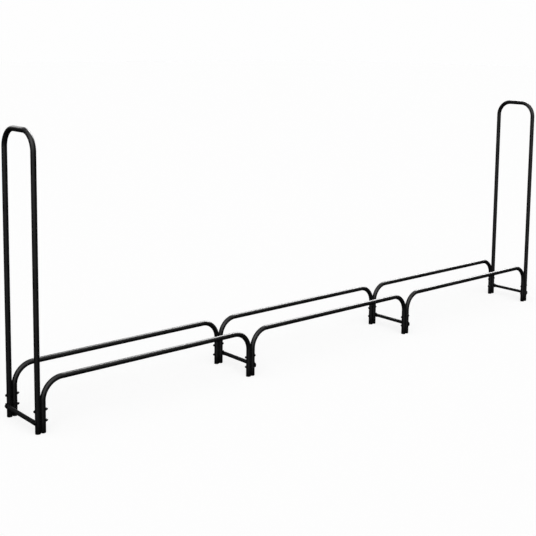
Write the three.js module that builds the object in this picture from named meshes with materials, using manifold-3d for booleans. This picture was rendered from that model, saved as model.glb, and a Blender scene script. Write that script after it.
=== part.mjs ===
// Firewood log rack: two tall bent end frames, six low bent rails in a front and a rear row,
// four cross braces with flattened ends, and the bolts, nuts and foot caps that hold and finish them.
// Millimetres, +Z up, X along the rack, the front at -Y, origin on the floor under the rack's middle.

import * as THREE from "three";
import { mergeVertices } from "three/addons/utils/BufferGeometryUtils.js";
import Module from "manifold-3d";

// ---- Driving dimensions ----

const TUBE_RADIUS = 12.5; // 25 mm round steel tube
const TUBE_WALL = 1.2;
const TUBE_SIDES = 12;
const BEND_STEPS = 5; // straight steps in each quarter bend

const RAIL_SPAN = 1168; // between the centrelines of a rail's two legs
const ROW_SPACING = 262; // between the front and rear rows' centrelines
const LEG_PITCH = 25.4; // between the centrelines of two legs bolted side by side
const FRAME_HEIGHT = 1330; // floor to the top of an end frame
const FRAME_BEND_RADIUS = 88; // at the tube's centreline
const RAIL_CENTRE_HEIGHT = 236; // floor to a rail's top centreline
const RAIL_BEND_RADIUS = 94;

const BOLT_HEIGHTS = { lower: 53, upper: 103 }; // the lower bolt also holds the brace
const BOLT_RADIUS = 3.1; // 1/4 inch
const BOLT_SIDES = 8;
const BOLT_TIP = 4; // thread standing out of the nut
const HOLE_RADIUS = 3.75;
const HEX_RADIUS = 6.4; // to the corners of an 11 mm hexagon
const HEAD_THICKNESS = 4.2;
const NUT_THICKNESS = 5.5;
const WASHER_ROOM = 1.6; // between a tube or brace and the head or nut that clamps it

const BRACE_RADIUS = 10;
const BRACE_WALL = 1.2;
const BRACE_FLAT_THICKNESS = 3.2;
const BRACE_FLAT_HEIGHT = 26;
const BRACE_TIP_HEIGHT = 18; // across the end, between its clipped corners
const BRACE_TIP_CLIP = 4;
const BRACE_OVERHANG = 12; // past a leg's centreline
const BRACE_FLAT_INSIDE = 15; // flat length on the inner side of a leg's centreline
const BRACE_TRANSITION = 20; // from flat to round
const BRACE_SIDES = 12;
const BRACE_SLIT = 0.7; // between the two pressed walls of a flat end

const CAP_HEAD = 3; // thickness of a foot cap under its tube
const CAP_CHAMFER = 1;
const CAP_STEM_RADIUS = 10;
const CAP_STEM_TOP = 16;
const CAP_SIDES = 12;

const GAP = 0.3; // between faces that touch

// ---- Places worked out from them ----

const ROWS = { front: -ROW_SPACING / 2, rear: ROW_SPACING / 2 };
const SECTIONS = ["left", "middle", "right"];
const FRAME_X = 1.5 * RAIL_SPAN + 2 * LEG_PITCH; // an end frame's plane, each side of the middle
const TUBE_BOTTOM = CAP_HEAD + GAP;

// Each station is a pair of legs side by side. braceSide is the side, along X, that the brace is on.
const JOINT_X = (RAIL_SPAN + LEG_PITCH) / 2;
const END_X = FRAME_X - LEG_PITCH / 2;
const STATIONS = [
  { name: "left_end", x: -END_X, braceSide: -1 },
  { name: "left_joint", x: -JOINT_X, braceSide: 1 },
  { name: "right_joint", x: JOINT_X, braceSide: 1 },
  { name: "right_end", x: END_X, braceSide: 1 },
];
const PAIR_HALF_WIDTH = LEG_PITCH / 2 + TUBE_RADIUS; // station middle to the outer faces of its tubes

// ---- Materials ----

const powderCoat = new THREE.MeshStandardMaterial({ color: 0x0c0c0d, roughness: 0.42, metalness: 0.1 });
const blackZinc = new THREE.MeshStandardMaterial({ color: 0x131315, roughness: 0.38, metalness: 0.7 });
const capPlastic = new THREE.MeshStandardMaterial({ color: 0x0a0a0a, roughness: 0.6, metalness: 0 });

// ---- Solids: booleans and helpers ----

const wasm = await Module();
wasm.setup();

function toSolid(geometry) {
  const bare = geometry.clone();
  bare.deleteAttribute("normal");
  bare.deleteAttribute("uv");
  const merged = mergeVertices(bare, 1e-3);
  return new wasm.Manifold(
    new wasm.Mesh({
      numProp: 3,
      vertProperties: new Float32Array(merged.attributes.position.array),
      triVerts: new Uint32Array(merged.index.array),
    }),
  );
}

function toGeometry(solid) {
  const mesh = solid.getMesh();
  const geometry = new THREE.BufferGeometry();
  geometry.setAttribute("position", new THREE.BufferAttribute(mesh.vertProperties, 3));
  geometry.setIndex(new THREE.BufferAttribute(mesh.triVerts, 1));
  geometry.computeVertexNormals();
  return geometry;
}

// A prism or cylinder lying along X, from one x to another.
function barAlongX(radius, sides, fromX, toX, y, z) {
  const bar = new THREE.CylinderGeometry(radius, radius, Math.abs(toX - fromX), sides);
  bar.rotateZ(-Math.PI / 2);
  bar.translate((fromX + toX) / 2, y, z);
  return bar;
}

function polygon(radius, sides) {
  const points = [];
  for (let i = 0; i < sides; i++) {
    const angle = (i / sides) * 2 * Math.PI;
    points.push(new THREE.Vector2(radius * Math.cos(angle), radius * Math.sin(angle)));
  }
  return points;
}

// A path whose extrusion steps fall on its own points, so that long straights take one step.
class StationPath extends THREE.Curve {
  constructor(stations) {
    super();
    this.stations = stations;
  }
  at(u) {
    return this.stations[Math.round(u * (this.stations.length - 1))];
  }
  getPointAt(u) {
    return this.at(u).point.clone();
  }
  getTangentAt(u) {
    return this.at(u).tangent.clone();
  }
}

// The stations of a quarter bend from one direction to another, which starts at the point given.
function quarterBend(start, from, to, radius) {
  const centre = start.clone().addScaledVector(to, radius);
  const stations = [];
  for (let i = 0; i <= BEND_STEPS; i++) {
    const angle = ((i / BEND_STEPS) * Math.PI) / 2;
    const point = centre.clone();
    point.addScaledVector(to, -radius * Math.cos(angle));
    point.addScaledVector(from, radius * Math.sin(angle));
    const tangent = new THREE.Vector3();
    tangent.addScaledVector(from, Math.cos(angle));
    tangent.addScaledVector(to, Math.sin(angle));
    stations.push({ point, tangent });
  }
  return stations;
}

// An open-ended tube bent into an upside-down U: up from one foot, across, and down to the other.
function bentTube(footA, footB, topCentre, bendRadius) {
  const up = new THREE.Vector3(0, 0, 1);
  const down = new THREE.Vector3(0, 0, -1);
  const across = footB.clone().sub(footA).normalize();
  const legTop = topCentre - bendRadius;
  const firstBend = quarterBend(footA.clone().setZ(legTop), up, across, bendRadius);
  const secondStart = footB.clone().addScaledVector(across, -bendRadius).setZ(topCentre);
  const secondBend = quarterBend(secondStart, across, down, bendRadius);
  const stations = [{ point: footA, tangent: up }, ...firstBend, ...secondBend, { point: footB, tangent: down }];
  const section = new THREE.Shape(polygon(TUBE_RADIUS, TUBE_SIDES));
  section.holes.push(new THREE.Path(polygon(TUBE_RADIUS - TUBE_WALL, TUBE_SIDES).reverse()));
  return new THREE.ExtrudeGeometry(section, {
    steps: stations.length - 1,
    bevelEnabled: false,
    extrudePath: new StationPath(stations),
  });
}

// Cuts both bolt holes through the legs that stand at each of the places given.
function drilled(geometry, legs) {
  let solid = toSolid(geometry);
  const reach = TUBE_RADIUS + 1;
  for (const { x, y } of legs) {
    for (const z of Object.values(BOLT_HEIGHTS)) {
      const drill = barAlongX(HOLE_RADIUS, BOLT_SIDES, x - reach, x + reach, y, z);
      solid = solid.subtract(toSolid(drill));
    }
  }
  return toGeometry(solid);
}

// ---- Sub-parts ----

function endFrame(x) {
  const footA = new THREE.Vector3(x, ROWS.front, TUBE_BOTTOM);
  const footB = new THREE.Vector3(x, ROWS.rear, TUBE_BOTTOM);
  const tube = bentTube(footA, footB, FRAME_HEIGHT - TUBE_RADIUS, FRAME_BEND_RADIUS);
  return drilled(tube, [footA, footB]);
}

function rail(middleX, y) {
  const footA = new THREE.Vector3(middleX - RAIL_SPAN / 2, y, TUBE_BOTTOM);
  const footB = new THREE.Vector3(middleX + RAIL_SPAN / 2, y, TUBE_BOTTOM);
  const tube = bentTube(footA, footB, RAIL_CENTRE_HEIGHT, RAIL_BEND_RADIUS);
  return drilled(tube, [footA, footB]);
}

// An oval ring across Y, at one place along it, for a loft.
function ovalRing(y, halfThickness, halfHeight) {
  const ring = [];
  for (let i = 0; i < BRACE_SIDES; i++) {
    const angle = (i / BRACE_SIDES) * 2 * Math.PI;
    ring.push(new THREE.Vector3(halfThickness * Math.cos(angle), y, halfHeight * Math.sin(angle)));
  }
  return ring;
}

// A closed skin over rings that follow each other along +Y, each with as many points.
function loft(rings) {
  const positions = rings.flat().flatMap((point) => [point.x, point.y, point.z]);
  const sides = rings[0].length;
  const index = [];
  for (let r = 0; r + 1 < rings.length; r++) {
    for (let i = 0; i < sides; i++) {
      const next = (i + 1) % sides;
      const [a, b] = [r * sides + i, r * sides + next];
      index.push(a, a + sides, b, b, a + sides, b + sides);
    }
  }
  const last = (rings.length - 1) * sides;
  for (let i = 1; i + 1 < sides; i++) {
    index.push(0, i, i + 1, last, last + i + 1, last + i);
  }
  const geometry = new THREE.BufferGeometry();
  geometry.setAttribute("position", new THREE.Float32BufferAttribute(positions, 3));
  geometry.setIndex(index);
  return geometry;
}

// Mirrors a half list of rings, given from the middle outwards, into a whole one along +Y.
function bothEnds(half) {
  const front = half.map(([y, thickness, height]) => ovalRing(-y, thickness, height)).reverse();
  return [...front, ...half.map(([y, thickness, height]) => ovalRing(y, thickness, height))];
}

// A round tube between the two rows, pressed flat where it is bolted to the legs.
function crossBrace(x) {
  const legY = ROW_SPACING / 2;
  const flatStart = legY - BRACE_FLAT_INSIDE;
  const roundEnd = flatStart - BRACE_TRANSITION;
  const tip = legY + BRACE_OVERHANG;
  const halfFlat = BRACE_FLAT_THICKNESS / 2;
  const skin = loft(
    bothEnds([
      [roundEnd, BRACE_RADIUS, BRACE_RADIUS],
      [flatStart, halfFlat, BRACE_FLAT_HEIGHT / 2],
      [tip - BRACE_TIP_CLIP, halfFlat, BRACE_FLAT_HEIGHT / 2],
      [tip, halfFlat, BRACE_TIP_HEIGHT / 2],
    ]),
  );
  const innerRadius = BRACE_RADIUS - BRACE_WALL;
  const slitHalfHeight = BRACE_TIP_HEIGHT / 2 - BRACE_WALL;
  const hollow = loft(
    bothEnds([
      [roundEnd, innerRadius, innerRadius],
      [flatStart, BRACE_SLIT / 2, slitHalfHeight],
      [tip + 1, BRACE_SLIT / 2, slitHalfHeight],
    ]),
  );
  let solid = toSolid(skin).subtract(toSolid(hollow));
  for (const y of Object.values(ROWS)) {
    const drill = barAlongX(HOLE_RADIUS, BOLT_SIDES, -BRACE_RADIUS, BRACE_RADIUS, y, 0);
    solid = solid.subtract(toSolid(drill));
  }
  const geometry = toGeometry(solid);
  geometry.translate(x, 0, BOLT_HEIGHTS.lower);
  return geometry;
}

// Distances from a station's middle, along X on the bolt head's side, which is the brace's.
const BRACE_FACE = PAIR_HALF_WIDTH + GAP + BRACE_FLAT_THICKNESS;
const HEAD_FACE = { lower: BRACE_FACE + WASHER_ROOM, upper: PAIR_HALF_WIDTH + WASHER_ROOM };
const NUT_FACE = PAIR_HALF_WIDTH + WASHER_ROOM;

function bolt(station, y, level) {
  const z = BOLT_HEIGHTS[level];
  const side = station.braceSide;
  const at = (distance) => station.x + side * distance;
  const headFace = HEAD_FACE[level];
  const head = barAlongX(HEX_RADIUS, 6, at(headFace), at(headFace + HEAD_THICKNESS), y, z);
  const tip = -(NUT_FACE + NUT_THICKNESS + BOLT_TIP);
  const shank = barAlongX(BOLT_RADIUS, BOLT_SIDES, at(tip), at(headFace + HEAD_THICKNESS / 2), y, z);
  return toGeometry(toSolid(head).add(toSolid(shank)));
}

function nut(station, y, level) {
  const z = BOLT_HEIGHTS[level];
  const at = (distance) => station.x - station.braceSide * distance;
  const body = barAlongX(HEX_RADIUS, 6, at(NUT_FACE), at(NUT_FACE + NUT_THICKNESS), y, z);
  const bore = barAlongX(HOLE_RADIUS, BOLT_SIDES, at(NUT_FACE - 1), at(NUT_FACE + NUT_THICKNESS + 1), y, z);
  return toGeometry(toSolid(body).subtract(toSolid(bore)));
}

// A plug pressed up into a tube's open end, with a chamfered head that the rack stands on.
function footCap() {
  const profile = [
    new THREE.Vector2(0, 0),
    new THREE.Vector2(TUBE_RADIUS - CAP_CHAMFER, 0),
    new THREE.Vector2(TUBE_RADIUS, CAP_CHAMFER),
    new THREE.Vector2(TUBE_RADIUS, CAP_HEAD),
    new THREE.Vector2(CAP_STEM_RADIUS, CAP_HEAD),
    new THREE.Vector2(CAP_STEM_RADIUS, CAP_STEM_TOP),
    new THREE.Vector2(0, CAP_STEM_TOP),
  ];
  const cap = new THREE.LatheGeometry(profile, CAP_SIDES);
  cap.rotateX(Math.PI / 2);
  return cap;
}

// ---- Assembly ----

const rack = new THREE.Group();

function place(name, geometry, material) {
  const mesh = new THREE.Mesh(geometry, material);
  mesh.name = name;
  rack.add(mesh);
  return mesh;
}

place("end_frame_left", endFrame(-FRAME_X), powderCoat);
place("end_frame_right", endFrame(FRAME_X), powderCoat);

for (const [row, y] of Object.entries(ROWS)) {
  SECTIONS.forEach((section, i) => {
    const middleX = (i - 1) * (RAIL_SPAN + LEG_PITCH);
    place(`${row}_rail_${section}`, rail(middleX, y), powderCoat);
  });
}

for (const station of STATIONS) {
  const braceOffset = PAIR_HALF_WIDTH + GAP + BRACE_FLAT_THICKNESS / 2;
  const braceX = station.x + station.braceSide * braceOffset;
  place(`cross_brace_${station.name}`, crossBrace(braceX), powderCoat);
  for (const [row, y] of Object.entries(ROWS)) {
    for (const level of Object.keys(BOLT_HEIGHTS)) {
      place(`bolt_${row}_${station.name}_${level}`, bolt(station, y, level), blackZinc);
      place(`nut_${row}_${station.name}_${level}`, nut(station, y, level), blackZinc);
    }
    for (const [hand, side] of Object.entries({ a: -1, b: 1 })) {
      const cap = place(`foot_cap_${row}_${station.name}_${hand}`, footCap(), capPlastic);
      cap.position.set(station.x + (side * LEG_PITCH) / 2, y, 0);
    }
  }
}

export default rack;
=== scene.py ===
"""Looks for the firewood log rack: bent tubes, pressed braces, bolts, nuts, washers and foot caps."""

import math

import bmesh
import bpy
from mathutils import Matrix, Vector


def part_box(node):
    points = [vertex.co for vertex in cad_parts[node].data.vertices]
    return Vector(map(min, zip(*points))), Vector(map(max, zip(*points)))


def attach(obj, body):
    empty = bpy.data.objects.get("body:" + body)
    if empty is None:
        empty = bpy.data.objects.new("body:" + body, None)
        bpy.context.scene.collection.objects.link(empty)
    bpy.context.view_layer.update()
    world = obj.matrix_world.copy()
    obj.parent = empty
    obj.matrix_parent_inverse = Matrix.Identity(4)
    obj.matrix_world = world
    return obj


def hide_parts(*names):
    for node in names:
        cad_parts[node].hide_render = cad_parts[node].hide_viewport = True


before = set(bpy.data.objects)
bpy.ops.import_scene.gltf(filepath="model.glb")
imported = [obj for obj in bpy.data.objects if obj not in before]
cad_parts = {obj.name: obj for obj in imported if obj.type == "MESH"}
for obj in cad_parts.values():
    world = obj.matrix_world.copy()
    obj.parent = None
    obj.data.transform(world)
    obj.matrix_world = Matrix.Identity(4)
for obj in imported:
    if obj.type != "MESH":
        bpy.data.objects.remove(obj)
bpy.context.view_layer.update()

# ---- Dimensions, in metres ----

TUBE_SIDES = 40
BEND_STEPS = 26
TUBE_WALL = 0.0012
FRAME_BEND = 0.088
RAIL_BEND = 0.094
LIP = 0.0005  # height of the softened edge at a tube's open end
LIP_OUTSIDE = 0.6  # share of that height taken off the outside
LIP_INSIDE = 0.3  # and off the wall's inside

BRACE_SIDES = 48
BRACE_OVERHANG = 0.012  # past a leg's centreline
BRACE_FLAT_INSIDE = 0.0105  # flat length on the inner side of a leg's centreline
BRACE_TRANSITION = 0.013  # from flat to round
BRACE_TRANSITION_STEPS = 12
BRACE_FLAT_HALF = 0.0016
BRACE_CORNER = 0.0085  # radius of the flat's corners
BRACE_CORNER_STEPS = 9
SLIT_HALF = 0.0006
ROUND = 2.0  # superellipse powers
SQUARED = 4.5

BOLT_RADIUS = 0.003
BOLT_HOLE = 0.00375  # radius
HOLE_COLLAR = 0.0055  # from a hole's middle to the rings above and below it
HOLE_REACH = 0.002  # of the cutting bar past a tube
BOLT_SIDES = 28
THREAD_PITCH = 0.001
THREAD_DEPTH = 0.00055
THREAD_LENGTH = 0.018
THREAD_STEEPNESS = 1.35
THREAD_ROOT_FLAT = 0.12
THREAD_RUNOUT = 0.0006
RINGS_PER_PITCH = 7
TIP_INSET = 0.0002
TIP_SLOPE = 0.9
HEAD_THICKNESS = 0.0042
HEAD_DISH = 0.00025
HEAD_UNDER_FACE = 0.0003
SHANK_OVERLAP = 0.00002  # of a shank inside its head

HEX_SIDES = 48
CHAMFER_START = 0.95  # of the distance to a hexagon's flats
CHAMFER_STEPS = 5
CHAMFER_SLOPE = math.tan(math.radians(30))
FACE_SHARE = 0.62  # radii of round rings, as shares of the corner radius
DISH_SHARE = 0.55
SHOULDER_SHARE = 0.83
UNDERSIDE_SHARE = 0.8

NUT_SINK = 0.0005
NUT_CLEARANCE = 0.00015
WASHER_RADIUS = 0.0071
WASHER_THICKNESS = 0.0013
WASHER_CLEARANCE = 0.0001
WASHER_EDGE = 0.00022
WASHER_BORE_GAP = 0.0003
WASHER_SIDES = 48

CAP_HEAD = 0.003  # height of the part under the tube
CAP_FLAT_SHARE = 0.55
CAP_ROUNDING = 0.0016
CAP_ROUNDING_STEPS = 6
CAP_EDGE = 0.0003
STEM_CLEARANCE = 0.0006
RIB_COUNT = 4
FIRST_RIB = 0.0015
RIB_PITCH = 0.0028
RIB_HEIGHT = 0.0008
RIB_LEVELS = (0, 0.0005, 0.0012, 0.002)  # from a rib's foot to its top
STEM_TAPER_HEIGHT = 0.0006  # of the narrowing at the stem's top
STEM_TAPER = (0.001, 0.0018)  # how much narrower it is there, below and above

ROWS = ("front", "rear")
STATIONS = ("left_end", "left_joint", "right_joint", "right_end")
LEVELS = ("lower", "upper")

# ---- Studio ----

BACKDROP = 0.99
FLOOR_REACH = 60
FLOOR_GREY = 0.35
FLOOR_LIFT = 0.772
KEY_DIRECTION = Vector((-0.52, -0.5, 0.7))
KEY_LIGHT = 1.15
KEY_GLOW = (0.25, 0.95)  # cosines of the angle to the key between which its glow rises
FILL_LIGHT = 0.05
HORIZON_FADE = (-0.42, 0.1)  # heights on a unit sphere between which the studio brightens
EDGE_DIRECTION = Vector((0.7, 0.36, 0.6))
SOFTBOX_OFFSET = Vector((0.15, 1.3, 0.55))  # from the middle of the left end frame's top
SOFTBOX_SPREAD = math.radians(60)

CAMERA_PLACE = Vector((-3.8262, -3.9223, 1.7065))
CAMERA_YAW = math.radians(48.679)
CAMERA_PITCH = math.radians(7.126)
CAMERA_ROLL = math.radians(0.685)
SENSOR_WIDTH = 36
LENS = 67.54
LENS_SHIFT = -0.1903
CAMERA_REACH = 200

X, Y, Z = Vector((1, 0, 0)), Vector((0, 1, 0)), Vector((0, 0, 1))


# ---- Materials ----


def new_material(name, metallic, specular):
    mat = bpy.data.materials.new(name)
    mat.use_nodes = True
    tree = mat.node_tree
    shader = tree.nodes["Principled BSDF"]
    shader.inputs["Metallic"].default_value = metallic
    shader.inputs["Specular IOR Level"].default_value = specular
    return mat, tree, shader


def object_noise(tree, scale, detail, roughness):
    coords = tree.nodes.new("ShaderNodeTexCoord")
    noise = tree.nodes.new("ShaderNodeTexNoise")
    noise.inputs["Scale"].default_value = scale
    noise.inputs["Detail"].default_value = detail
    noise.inputs["Roughness"].default_value = roughness
    tree.links.new(coords.outputs["Object"], noise.inputs["Vector"])
    return noise.outputs["Fac"]


def ramp(tree, source, stops):
    node = tree.nodes.new("ShaderNodeValToRGB")
    elements = node.color_ramp.elements
    while len(elements) < len(stops):
        elements.new(0.5)
    for element, (position, colour) in zip(elements, stops):
        element.position = position
        element.color = (*colour, 1)
    tree.links.new(source, node.inputs["Fac"])
    return node.outputs["Color"]


def value_range(tree, source, low, high, source_low=0.3, source_high=0.7):
    node = tree.nodes.new("ShaderNodeMapRange")
    node.inputs["From Min"].default_value = source_low
    node.inputs["From Max"].default_value = source_high
    node.inputs["To Min"].default_value = low
    node.inputs["To Max"].default_value = high
    tree.links.new(source, node.inputs["Value"])
    return node.outputs["Result"]


def math_node(tree, operation, a, b):
    node = tree.nodes.new("ShaderNodeMath")
    node.operation = operation
    for socket, value in zip(node.inputs, (a, b)):
        if isinstance(value, (int, float)):
            socket.default_value = value
        else:
            tree.links.new(value, socket)
    return node.outputs["Value"]


def bump(tree, height, distance):
    node = tree.nodes.new("ShaderNodeBump")
    node.inputs["Distance"].default_value = distance
    node.inputs["Strength"].default_value = 1.0
    tree.links.new(height, node.inputs["Height"])
    return node.outputs["Normal"]


def powder_coat():
    """Satin black powder coat: orange peel, a fine sparkle of grain, and faint handling marks."""
    mat, tree, shader = new_material("powder_coat_black", 0.0, 0.5)
    link = tree.links.new
    peel = object_noise(tree, scale=420.0, detail=2.0, roughness=0.45)
    grain = object_noise(tree, scale=1900.0, detail=1.0, roughness=0.5)
    cloud = object_noise(tree, scale=9.0, detail=4.0, roughness=0.6)
    dark, light = (0.0062, 0.0062, 0.0065), (0.0092, 0.0092, 0.0095)
    colour = ramp(tree, cloud, [(0.25, dark), (0.75, light)])
    link(colour, shader.inputs["Base Color"])
    smudges = value_range(tree, cloud, 0.27, 0.36)
    speckle = value_range(tree, grain, -0.03, 0.03)
    link(math_node(tree, "ADD", smudges, speckle), shader.inputs["Roughness"])
    height = math_node(tree, "ADD", peel, math_node(tree, "MULTIPLY", grain, 0.25))
    link(bump(tree, height, 0.00005), shader.inputs["Normal"])
    return mat


def black_zinc():
    """Black zinc plate on the bolts, nuts and washers: metallic and a little mottled."""
    mat, tree, shader = new_material("black_zinc", 0.75, 0.5)
    link = tree.links.new
    mottle = object_noise(tree, scale=260.0, detail=3.0, roughness=0.6)
    fine = object_noise(tree, scale=2400.0, detail=2.0, roughness=0.5)
    colour = ramp(tree, mottle, [(0.3, (0.014, 0.014, 0.017)), (0.7, (0.034, 0.033, 0.033))])
    link(colour, shader.inputs["Base Color"])
    link(value_range(tree, mottle, 0.26, 0.42), shader.inputs["Roughness"])
    link(bump(tree, fine, 0.00004), shader.inputs["Normal"])
    return mat


def cap_plastic():
    """Moulded black plastic with a fine matte texture."""
    mat, tree, shader = new_material("cap_plastic_black", 0.0, 0.4)
    link = tree.links.new
    texture = object_noise(tree, scale=1500.0, detail=3.0, roughness=0.6)
    wear = object_noise(tree, scale=60.0, detail=3.0, roughness=0.6)
    colour = ramp(tree, wear, [(0.3, (0.006, 0.006, 0.006)), (0.7, (0.012, 0.012, 0.012))])
    link(colour, shader.inputs["Base Color"])
    link(value_range(tree, wear, 0.5, 0.66), shader.inputs["Roughness"])
    link(bump(tree, texture, 0.00009), shader.inputs["Normal"])
    return mat


# ---- Mesh helpers ----


def add_ring(mesh, points):
    return [mesh.verts.new(point) for point in points]


def bridge(mesh, first, second):
    """Quads between two rings that run the same way round."""
    count = len(first)
    for i in range(count):
        j = (i + 1) % count
        mesh.faces.new((first[i], first[j], second[j], second[i]))


def make_piece(name, mesh, material, replaced=None, smooth_angle=35):
    bmesh.ops.recalc_face_normals(mesh, faces=mesh.faces)
    data = bpy.data.meshes.new(name)
    mesh.to_mesh(data)
    mesh.free()
    for polygon in data.polygons:
        polygon.use_smooth = True
    data.set_sharp_from_angle(angle=math.radians(smooth_angle))
    data.materials.append(material)
    piece = bpy.data.objects.new(name, data)
    bpy.context.scene.collection.objects.link(piece)
    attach(piece, "root")
    if replaced:
        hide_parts(replaced)


def circle(centre, radius, across, up, sides=TUBE_SIDES):
    points = []
    for i in range(sides):
        angle = 2 * math.pi * i / sides
        points.append(centre + radius * (math.cos(angle) * across + math.sin(angle) * up))
    return points


def revolve(mesh, profile, centre, axis, sides, closed=False):
    """Turns (distance along axis, radius) pairs into rings about the axis. A radius of 0 makes a point."""
    across = Y if abs(axis.x) > 0.5 else X
    up = axis.cross(across)
    rings = []
    for along, radius in profile:
        middle = centre + along * axis
        if radius == 0:
            rings.append([mesh.verts.new(middle)])
        else:
            rings.append(add_ring(mesh, circle(middle, radius, across, up, sides)))
    pairs = list(zip(rings, rings[1:]))
    if closed:
        pairs.append((rings[-1], rings[0]))
    for first, second in pairs:
        if len(first) == 1 or len(second) == 1:
            point, ring = (first[0], second) if len(first) == 1 else (second[0], first)
            for i in range(sides):
                mesh.faces.new((point, ring[i], ring[(i + 1) % sides]))
        else:
            bridge(mesh, first, second)


# ---- Bolt holes ----


def plain_object(mesh):
    """Turns a bmesh into a bare object and frees it."""
    data = bpy.data.meshes.new("blank")
    mesh.to_mesh(data)
    mesh.free()
    thing = bpy.data.objects.new("blank", data)
    bpy.context.scene.collection.objects.link(thing)
    return thing


def hole_bars(places):
    """A closed round bar along X for each (x, y, z, half length)."""
    cutter = bmesh.new()
    for x, y, z, reach in places:
        middle = Vector((x, y, z))
        first = add_ring(cutter, circle(middle - reach * X, BOLT_HOLE, Y, Z, BOLT_SIDES))
        last = add_ring(cutter, circle(middle + reach * X, BOLT_HOLE, Y, Z, BOLT_SIDES))
        bridge(cutter, first, last)
        cutter.faces.new(first)
        cutter.faces.new(last)
    bmesh.ops.recalc_face_normals(cutter, faces=cutter.faces)
    return cutter


def drill(mesh, places):
    """Cuts a round hole along X at each (x, y, z, half length), through whatever of the mesh is there."""
    bmesh.ops.recalc_face_normals(mesh, faces=mesh.faces)
    tube, tool = plain_object(mesh), plain_object(hole_bars(places))
    modifier = tube.modifiers.new("drill", "BOOLEAN")
    modifier.operation = "DIFFERENCE"
    modifier.solver = "EXACT"
    modifier.object = tool
    bpy.context.view_layer.update()
    evaluated = tube.evaluated_get(bpy.context.evaluated_depsgraph_get())
    drilled = bmesh.new()
    drilled.from_mesh(evaluated.to_mesh())
    evaluated.to_mesh_clear()
    for scrap in (tube, tool):
        data = scrap.data
        bpy.data.objects.remove(scrap)
        bpy.data.meshes.remove(data)
    return drilled


# ---- Bent tubes ----


def bolt_levels(row, station):
    """The heights of a pair of legs' two bolts. All the pairs have the same heights."""
    levels = []
    for level in LEVELS:
        low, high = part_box(f"bolt_{row}_{station}_{level}")
        levels.append((low.z + high.z) / 2)
    return levels


def leg_rings(foot, heights):
    """Points just below and above each bolt hole, which keep the cuts short of the rest of the leg."""
    points = []
    for height in sorted(heights):
        for z in (height - HOLE_COLLAR, height + HOLE_COLLAR):
            points.append(Vector((foot.x, foot.y, z)))
    return points


def u_path(foot_a, foot_b, top, bend, heights):
    """Points and directions up one leg, round both bends and down the other leg."""
    across = (foot_b - foot_a).normalized()
    stations = [(foot_a, Z)]
    stations += [(point, Z) for point in leg_rings(foot_a, heights)]
    for start, sign in ((foot_a, 1), (foot_b, -1)):
        centre = start + sign * bend * across
        centre.z = top - bend
        for i in range(BEND_STEPS + 1):
            turn = math.pi / 2 * i / BEND_STEPS
            if sign < 0:
                turn = math.pi / 2 - turn
            point = centre + bend * (math.sin(turn) * Z - sign * math.cos(turn) * across)
            direction = math.cos(turn) * sign * Z + math.sin(turn) * across
            stations.append((point, direction))
    stations += [(point, -Z) for point in reversed(leg_rings(foot_b, heights))]
    stations.append((foot_b, -Z))
    return stations


def bent_tube(name, foot_a, foot_b, top, bend, radius, heights, material):
    """One tube with a real wall, softened edges at its open ends, and a bolt hole at each height."""
    side = (foot_b - foot_a).normalized().cross(Z)
    mesh = bmesh.new()
    stations = u_path(foot_a, foot_b, top, bend, heights)
    lip_stations = []
    for index, (point, direction) in enumerate(stations):
        if index == 0:
            lip_stations += [(point, direction, LIP), (point + LIP * direction, direction, 0)]
        elif index == len(stations) - 1:
            lip_stations += [(point - LIP * direction, direction, 0), (point, direction, LIP)]
        else:
            lip_stations.append((point, direction, 0))
    outer, inner = [], []
    for point, direction, inset in lip_stations:
        normal = side.cross(direction)
        outside = radius - inset * LIP_OUTSIDE
        inside = radius - TUBE_WALL + inset * LIP_INSIDE
        outer.append(add_ring(mesh, circle(point, outside, side, normal)))
        inner.append(add_ring(mesh, circle(point, inside, side, normal)))
    for rings in (outer, inner):
        for first, second in zip(rings, rings[1:]):
            bridge(mesh, first, second)
    bridge(mesh, outer[0], inner[0])
    bridge(mesh, outer[-1], inner[-1])
    reach = radius + HOLE_REACH
    holes = [(foot.x, foot.y, height, reach) for foot in (foot_a, foot_b) for height in heights]
    make_piece(name, drill(mesh, holes), material, name.removesuffix("_tube"))


def build_frames(material):
    for hand in ("left", "right"):
        low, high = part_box(f"end_frame_{hand}")
        radius = (high.x - low.x) / 2
        x = (low.x + high.x) / 2
        foot_a = Vector((x, low.y + radius, low.z))
        foot_b = Vector((x, high.y - radius, low.z))
        top = high.z - radius
        heights = bolt_levels("front", f"{hand}_end")
        name = f"end_frame_{hand}_tube"
        bent_tube(name, foot_a, foot_b, top, FRAME_BEND, radius, heights, material)


def build_rails(material):
    for row in ROWS:
        for section in ("left", "middle", "right"):
            low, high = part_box(f"{row}_rail_{section}")
            radius = (high.y - low.y) / 2
            y = (low.y + high.y) / 2
            foot_a = Vector((low.x + radius, y, low.z))
            foot_b = Vector((high.x - radius, y, low.z))
            top = high.z - radius
            heights = bolt_levels(row, "left_end")
            name = f"{row}_rail_{section}_tube"
            bent_tube(name, foot_a, foot_b, top, RAIL_BEND, radius, heights, material)


# ---- Cross braces ----


def superellipse(centre, half_x, half_z, power):
    points = []
    for i in range(BRACE_SIDES):
        angle = 2 * math.pi * i / BRACE_SIDES
        c, s = math.cos(angle), math.sin(angle)
        x = half_x * math.copysign(abs(c) ** (2 / power), c)
        z = half_z * math.copysign(abs(s) ** (2 / power), s)
        points.append(centre + Vector((x, 0, z)))
    return points


def smoothstep(t):
    return t * t * (3 - 2 * t)


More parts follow.
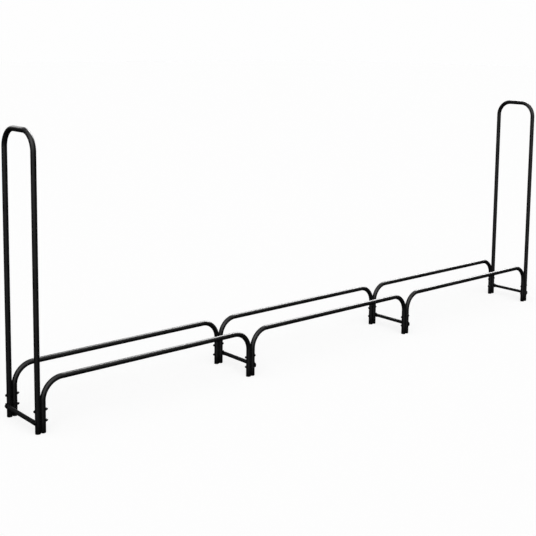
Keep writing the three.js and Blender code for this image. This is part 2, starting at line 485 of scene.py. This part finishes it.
def brace_sections(low, high):
    """Half of the brace, from the middle out: (y, half thickness, half height, squareness)."""
    radius = (high.x - low.x) / 2
    tall_half = (high.z - low.z) / 2
    tip_y = high.y
    flat_start = tip_y - BRACE_OVERHANG - BRACE_FLAT_INSIDE
    round_end = flat_start - BRACE_TRANSITION
    sections = [(0.0, radius, radius, ROUND), (round_end, radius, radius, ROUND)]
    for i in range(1, BRACE_TRANSITION_STEPS + 1):
        t = i / BRACE_TRANSITION_STEPS
        s = smoothstep(t)
        thickness = radius + (BRACE_FLAT_HALF - radius) * s
        height = radius + (tall_half - radius) * s
        power = ROUND + (SQUARED - ROUND) * s
        sections.append((round_end + (flat_start - round_end) * t, thickness, height, power))
    return sections + brace_tip(tip_y, tall_half)


def brace_tip(tip_y, tall_half):
    """The sections of the flat's rounded corners and of the softened edge at its very end."""
    edge_x, edge_y, edge_z = 0.0005, 0.0004, 0.0006
    corner_start = tip_y - BRACE_CORNER
    sections = [(corner_start, BRACE_FLAT_HALF, tall_half, SQUARED)]
    for i in range(1, BRACE_CORNER_STEPS + 1):
        angle = math.pi / 2 * i / BRACE_CORNER_STEPS
        inset = BRACE_CORNER * (1 - math.cos(angle))
        y = corner_start + (BRACE_CORNER - edge_y) * math.sin(angle)
        sections.append((y, BRACE_FLAT_HALF, tall_half - inset, SQUARED))
    end_half = tall_half - BRACE_CORNER - edge_z
    sections.append((tip_y, BRACE_FLAT_HALF - edge_x, end_half, SQUARED))
    return sections


def inner_section(section):
    """The bore of a brace section: round in the middle, a thin slit where the tube is pressed flat."""
    y, half_x, half_z, power = section
    return y, max(half_x - TUBE_WALL, SLIT_HALF), half_z - TUBE_WALL, power


def build_brace(station, material):
    """A tube pressed flat at both ends, with its bore open as a slit and a bolt hole through each flat."""
    node = f"cross_brace_{station}"
    low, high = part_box(node)
    x, z = (low.x + high.x) / 2, (low.z + high.z) / 2
    half = brace_sections(low, high)
    outside = [(-y, *shape) for y, *shape in reversed(half)] + half[1:]
    inside = [inner_section(section) for section in outside]
    mesh = bmesh.new()
    walls = []
    for sections in (outside, inside):
        rings = []
        for y, half_x, half_z, power in sections:
            points = superellipse(Vector((x, y, z)), half_x, half_z, power)
            rings.append(add_ring(mesh, points))
        for first, second in zip(rings, rings[1:]):
            bridge(mesh, first, second)
        walls.append(rings)
    outer, inner = walls
    bridge(mesh, outer[0], inner[0])
    bridge(mesh, outer[-1], inner[-1])
    leg_y = high.y - BRACE_OVERHANG
    holes = [(x, y, z, BRACE_OVERHANG) for y in (-leg_y, leg_y)]
    make_piece(f"{node}_tube", drill(mesh, holes), material, node)


# ---- Fasteners ----


def hex_points(centre, radius, across, up):
    """A hexagon with a corner on the across direction, with as many points as the round rings near it."""
    points = []
    for i in range(HEX_SIDES):
        angle = 2 * math.pi * i / HEX_SIDES
        corner = math.pi / 3
        offset = (angle + corner / 2) % corner - corner / 2
        reach = radius * math.cos(corner / 2) / math.cos(corner / 2 - abs(offset))
        points.append(centre + reach * (math.cos(angle) * across + math.sin(angle) * up))
    return points


def hex_ring(centre, axis, radius, limit):
    """A hexagon cut off at a round limit, as the turned chamfer of a bolt head or nut does."""
    ring = []
    for point in hex_points(centre, radius, Z, axis.cross(Z)):
        reach = (point - centre).length
        ring.append(centre + (point - centre) * min(1.0, limit / reach))
    return ring


def round_ring(centre, axis, radius):
    """A round ring whose points line up with those of hex_ring."""
    return circle(centre, radius, Z, axis.cross(Z), HEX_SIDES)


def chamfer_levels(radius):
    """(drop below the face, round limit) pairs from the flat's rim out to the full corners."""
    flat = radius * math.cos(math.pi / 6)
    start = flat * CHAMFER_START
    levels = []
    for i in range(CHAMFER_STEPS + 1):
        reach = start + (radius - start) * i / CHAMFER_STEPS
        levels.append(((reach - start) * CHAMFER_SLOPE, reach))
    return levels


def thread_radius(angle, along, crest, root):
    """The radius of a right-hand thread at one angle and distance along it."""
    phase = (along / THREAD_PITCH - angle / (2 * math.pi)) % 1.0
    rise = 1 - abs(2 * phase - 1)
    sharp = min(1.0, max(0.0, rise * THREAD_STEEPNESS - THREAD_ROOT_FLAT))
    return root + (crest - root) * sharp


def threaded_rings(mesh, start, axis):
    """Rings of a right-hand thread that tapers off at the bolt's tip."""
    up = axis.cross(Y)
    count = round(THREAD_LENGTH / THREAD_PITCH * RINGS_PER_PITCH)
    crest, root = BOLT_RADIUS, BOLT_RADIUS - THREAD_DEPTH
    rings = []
    for i in range(count + 1):
        along = THREAD_LENGTH * i / count
        tip_limit = root - TIP_INSET + (THREAD_LENGTH - along) * TIP_SLOPE
        ring = []
        for k in range(BOLT_SIDES):
            angle = 2 * math.pi * k / BOLT_SIDES
            radius = min(thread_radius(angle, along, crest, root), tip_limit)
            direction = math.cos(angle) * Y + math.sin(angle) * up
            ring.append(mesh.verts.new(start + along * axis + radius * direction))
        rings.append(ring)
    return rings


def fastener_axis(station):
    """The direction from a bolt's head to its nut. The heads are on the side that the brace is on."""
    return X if station == "left_end" else -X


def end_points(node, axis):
    """The middles of a fastener's two end faces, in the order that the axis meets them."""
    low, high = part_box(node)
    y, z = (low.y + high.y) / 2, (low.z + high.z) / 2
    first_x, last_x = (low.x, high.x) if axis.x > 0 else (high.x, low.x)
    return Vector((first_x, y, z)), Vector((last_x, y, z))


def build_head(node, top, axis, corner, material):
    """A hexagon bolt head: a dished top with a turned chamfer, and a thin round face under it."""
    mesh = bmesh.new()
    rings = [
        add_ring(mesh, round_ring(top + HEAD_DISH * axis, axis, corner * DISH_SHARE)),
        add_ring(mesh, round_ring(top, axis, corner * FACE_SHARE)),
    ]
    for drop, limit in chamfer_levels(corner):
        rings.append(add_ring(mesh, hex_ring(top + drop * axis, axis, corner, limit)))
    shoulder = top + (HEAD_THICKNESS - HEAD_UNDER_FACE) * axis
    underside = top + HEAD_THICKNESS * axis
    rings.append(add_ring(mesh, hex_ring(shoulder, axis, corner, corner)))
    rings.append(add_ring(mesh, round_ring(shoulder, axis, corner * SHOULDER_SHARE)))
    rings.append(add_ring(mesh, round_ring(underside, axis, corner * UNDERSIDE_SHARE)))
    for first, second in zip(rings, rings[1:]):
        bridge(mesh, first, second)
    for ring in (rings[0], rings[-1]):
        mesh.faces.new(ring)
    make_piece(f"{node}_head", mesh, material, node)


def build_shank(node, start, tip, axis, material):
    """A plain round shank with a threaded end."""
    mesh = bmesh.new()
    up = axis.cross(Y)
    thread_start = tip - THREAD_LENGTH * axis
    plain_end = thread_start - THREAD_RUNOUT * axis
    rings = [
        add_ring(mesh, circle(start, BOLT_RADIUS, Y, up, BOLT_SIDES)),
        add_ring(mesh, circle(plain_end, BOLT_RADIUS, Y, up, BOLT_SIDES)),
    ]
    rings += threaded_rings(mesh, thread_start, axis)
    for first, second in zip(rings, rings[1:]):
        bridge(mesh, first, second)
    for ring in (rings[0], rings[-1]):
        mesh.faces.new(ring)
    make_piece(f"{node}_shank", mesh, material, smooth_angle=50)


def build_bolt(row, station, level, material):
    """Builds one bolt and returns the middle of its head's underside."""
    node = f"bolt_{row}_{station}_{level}"
    axis = fastener_axis(station)
    top, tip = end_points(node, axis)
    low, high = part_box(node)
    build_head(node, top, axis, (high.z - low.z) / 2, material)
    underside = top + HEAD_THICKNESS * axis
    build_shank(node, underside - SHANK_OVERLAP * axis, tip, axis, material)
    return underside


def build_nut(row, station, level, material):
    """A hexagon nut, chamfered and countersunk on both faces. Returns the middle of its near face."""
    node = f"nut_{row}_{station}_{level}"
    axis = fastener_axis(station)
    near, far = end_points(node, axis)
    low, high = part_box(node)
    corner = (high.z - low.z) / 2
    bore = BOLT_RADIUS + NUT_CLEARANCE
    mesh = bmesh.new()
    rings = []
    for face, inward in ((near, axis), (far, -axis)):
        side = [
            round_ring(face + NUT_SINK * inward, axis, bore),
            round_ring(face, axis, bore + NUT_SINK),
            round_ring(face, axis, corner * FACE_SHARE),
        ]
        for drop, limit in chamfer_levels(corner):
            side.append(hex_ring(face + drop * inward, axis, corner, limit))
        side = [add_ring(mesh, points) for points in side]
        rings += side if face is near else reversed(side)
    for first, second in zip(rings, rings[1:] + rings[:1]):
        bridge(mesh, first, second)
    make_piece(f"{node}_body", mesh, material, node)
    return near


def build_washer(name, face, inward, material):
    """A flat punched washer with softened edges, built inward from the middle of its outer face."""
    edge = WASHER_EDGE
    bore = BOLT_RADIUS + WASHER_BORE_GAP
    profile = [
        (0, bore + edge),
        (0, WASHER_RADIUS - edge),
        (edge, WASHER_RADIUS),
        (WASHER_THICKNESS - edge, WASHER_RADIUS),
        (WASHER_THICKNESS, WASHER_RADIUS - edge),
        (WASHER_THICKNESS, bore + edge),
        (WASHER_THICKNESS - edge, bore),
        (edge, bore),
    ]
    mesh = bmesh.new()
    revolve(mesh, profile, face, inward, WASHER_SIDES, closed=True)
    make_piece(name, mesh, material)


def build_fasteners(material):
    for row in ROWS:
        for station in STATIONS:
            for level in LEVELS:
                tag = f"{row}_{station}_{level}"
                away = WASHER_CLEARANCE * fastener_axis(station)
                underside = build_bolt(row, station, level, material)
                build_washer(f"washer_head_{tag}", underside + away, fastener_axis(station), material)
                near_face = build_nut(row, station, level, material)
                build_washer(f"washer_nut_{tag}", near_face - away, -fastener_axis(station), material)


# ---- Foot caps ----


def cap_profile(radius, top):
    """Half of a foot cap's outline, from the middle of its foot up to the middle of its top."""
    profile = [(0.0, 0), (0.0, radius * CAP_FLAT_SHARE), (0.0, radius - CAP_ROUNDING)]
    for i in range(1, CAP_ROUNDING_STEPS + 1):
        angle = math.pi / 2 * i / CAP_ROUNDING_STEPS
        reach = radius - CAP_ROUNDING + CAP_ROUNDING * math.sin(angle)
        profile.append((CAP_ROUNDING * (1 - math.cos(angle)), reach))
    profile += [(CAP_HEAD - CAP_EDGE, radius), (CAP_HEAD, radius - CAP_EDGE)]
    stem = radius - TUBE_WALL - STEM_CLEARANCE
    groove = stem - RIB_HEIGHT
    profile.append((CAP_HEAD, groove))
    for i in range(RIB_COUNT):
        base = CAP_HEAD + FIRST_RIB + i * RIB_PITCH
        for along, reach in zip(RIB_LEVELS, (groove, stem, stem, groove)):
            profile.append((base + along, reach))
    below, above = STEM_TAPER
    profile += [(top - STEM_TAPER_HEIGHT, stem - below), (top, stem - above), (top, 0)]
    return profile


def build_cap(row, station, hand, material):
    """A moulded plug: a head with a rounded edge under the tube, and a ribbed stem pushed up inside it."""
    node = f"foot_cap_{row}_{station}_{hand}"
    low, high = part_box(node)
    foot = Vector(((low.x + high.x) / 2, (low.y + high.y) / 2, low.z))
    mesh = bmesh.new()
    revolve(mesh, cap_profile((high.x - low.x) / 2, high.z - low.z), foot, Z, TUBE_SIDES)
    make_piece(f"{node}_plug", mesh, material, node, smooth_angle=40)


def build_caps(material):
    for row in ROWS:
        for station in STATIONS:
            for hand in ("a", "b"):
                build_cap(row, station, hand, material)


# ---- Floor, lights and camera ----


def build_floor():
    """A pale floor that catches a faint shadow and doesn't show in the rack's gloss."""
    mesh = bmesh.new()
    size = FLOOR_REACH
    corners = [(-size, -size), (size, -size), (size, size), (-size, size)]
    mesh.faces.new([mesh.verts.new((x, y, 0)) for x, y in corners])
    data = bpy.data.meshes.new("studio_floor")
    mesh.to_mesh(data)
    mesh.free()
    floor = bpy.data.objects.new("studio_floor", data)
    bpy.context.scene.collection.objects.link(floor)
    mat = bpy.data.materials.new("studio_floor")
    mat.use_nodes = True
    shader = mat.node_tree.nodes["Principled BSDF"]
    shader.inputs["Base Color"].default_value = (FLOOR_GREY, FLOOR_GREY, FLOOR_GREY, 1)
    shader.inputs["Roughness"].default_value = 1.0
    shader.inputs["Specular IOR Level"].default_value = 0.0
    shader.inputs["Emission Color"].default_value = (1, 1, 1, 1)
    shader.inputs["Emission Strength"].default_value = FLOOR_LIFT
    data.materials.append(mat)
    floor.visible_glossy = False
    floor.visible_diffuse = False


def soft_sun(name, direction, spread, power):
    """A very wide distant light, so that every part of a long rack is lit alike."""
    data = bpy.data.lights.new(name, "SUN")
    data.angle = math.radians(spread)
    data.energy = power
    light = bpy.data.objects.new(name, data)
    bpy.context.scene.collection.objects.link(light)
    light.rotation_euler = direction.to_track_quat("Z", "Y").to_euler()
    return light


def softbox(name, centre, target, width, height, power):
    """A rectangular light near the rack, which shows only in its gloss."""
    data = bpy.data.lights.new(name, "AREA")
    data.shape = "RECTANGLE"
    data.size = width
    data.size_y = height
    data.energy = power
    data.spread = SOFTBOX_SPREAD
    light = bpy.data.objects.new(name, data)
    bpy.context.scene.collection.objects.link(light)
    light.location = centre
    light.rotation_euler = (centre - target).to_track_quat("Z", "Y").to_euler()
    light.visible_camera = False
    light.visible_diffuse = False


def build_world():
    """A studio that is bright overhead, dimmer to the sides and dark below, with a pale backdrop."""
    world = bpy.data.worlds.new("studio")
    bpy.context.scene.world = world
    world.use_nodes = True
    tree = world.node_tree
    link = tree.links.new
    background = tree.nodes["Background"]
    background.inputs["Color"].default_value = (1, 1, 1, 1)
    coords = tree.nodes.new("ShaderNodeTexCoord")
    split = tree.nodes.new("ShaderNodeSeparateXYZ")
    link(coords.outputs["Generated"], split.inputs["Vector"])
    above_floor = value_range(tree, split.outputs["Z"], 0.0, 1.0, *HORIZON_FADE)
    facing = tree.nodes.new("ShaderNodeVectorMath")
    facing.operation = "DOT_PRODUCT"
    facing.inputs[1].default_value = KEY_DIRECTION.normalized()
    link(coords.outputs["Generated"], facing.inputs[0])
    glow = value_range(tree, facing.outputs["Value"], 0.0, 1.0, *KEY_GLOW)
    glow = math_node(tree, "MULTIPLY", glow, KEY_LIGHT)
    light = math_node(tree, "MULTIPLY", math_node(tree, "ADD", glow, FILL_LIGHT), above_floor)
    path = tree.nodes.new("ShaderNodeLightPath")
    mix = tree.nodes.new("ShaderNodeMix")
    mix.data_type = "FLOAT"
    link(path.outputs["Is Camera Ray"], mix.inputs[0])
    link(light, mix.inputs[2])
    mix.inputs[3].default_value = BACKDROP
    link(mix.outputs[0], background.inputs["Strength"])


def build_lights():
    """Two wide suns and a softbox. Of these, only the overhead sun lights the floor."""
    soft_sun("overhead", KEY_DIRECTION, spread=35, power=0.3)
    edge = soft_sun("edge", EDGE_DIRECTION, spread=38, power=4.0)
    edge.visible_diffuse = False
    low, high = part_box("end_frame_left")
    top = Vector(((low.x + high.x) / 2, 0, high.z))
    softbox("left_top", top + SOFTBOX_OFFSET, top, width=0.9, height=0.6, power=0.6)


def build_camera():
    data = bpy.data.cameras.new("camera")
    camera = bpy.data.objects.new("camera", data)
    bpy.context.scene.collection.objects.link(camera)
    yaw, pitch, roll = CAMERA_YAW, CAMERA_PITCH, CAMERA_ROLL
    level = math.cos(pitch)
    forward = Vector((level * math.cos(yaw), level * math.sin(yaw), -math.sin(pitch)))
    level_right = Vector((math.sin(yaw), -math.cos(yaw), 0))
    level_up = level_right.cross(forward)
    right = math.cos(roll) * level_right + math.sin(roll) * level_up
    up = -math.sin(roll) * level_right + math.cos(roll) * level_up
    rotation = Matrix((right, up, -forward)).transposed()
    camera.matrix_world = Matrix.Translation(CAMERA_PLACE) @ rotation.to_4x4()
    data.sensor_width = SENSOR_WIDTH
    data.lens = LENS
    data.shift_y = LENS_SHIFT
    data.clip_end = CAMERA_REACH
    bpy.context.scene.camera = camera


# ---- Assembly ----

bpy.context.scene.view_settings.view_transform = "Standard"

coat = powder_coat()
zinc = black_zinc()
plastic = cap_plastic()

build_frames(coat)
build_rails(coat)
for station_name in STATIONS:
    build_brace(station_name, coat)
build_fasteners(zinc)
build_caps(plastic)
build_floor()
build_world()
build_lights()
build_camera()
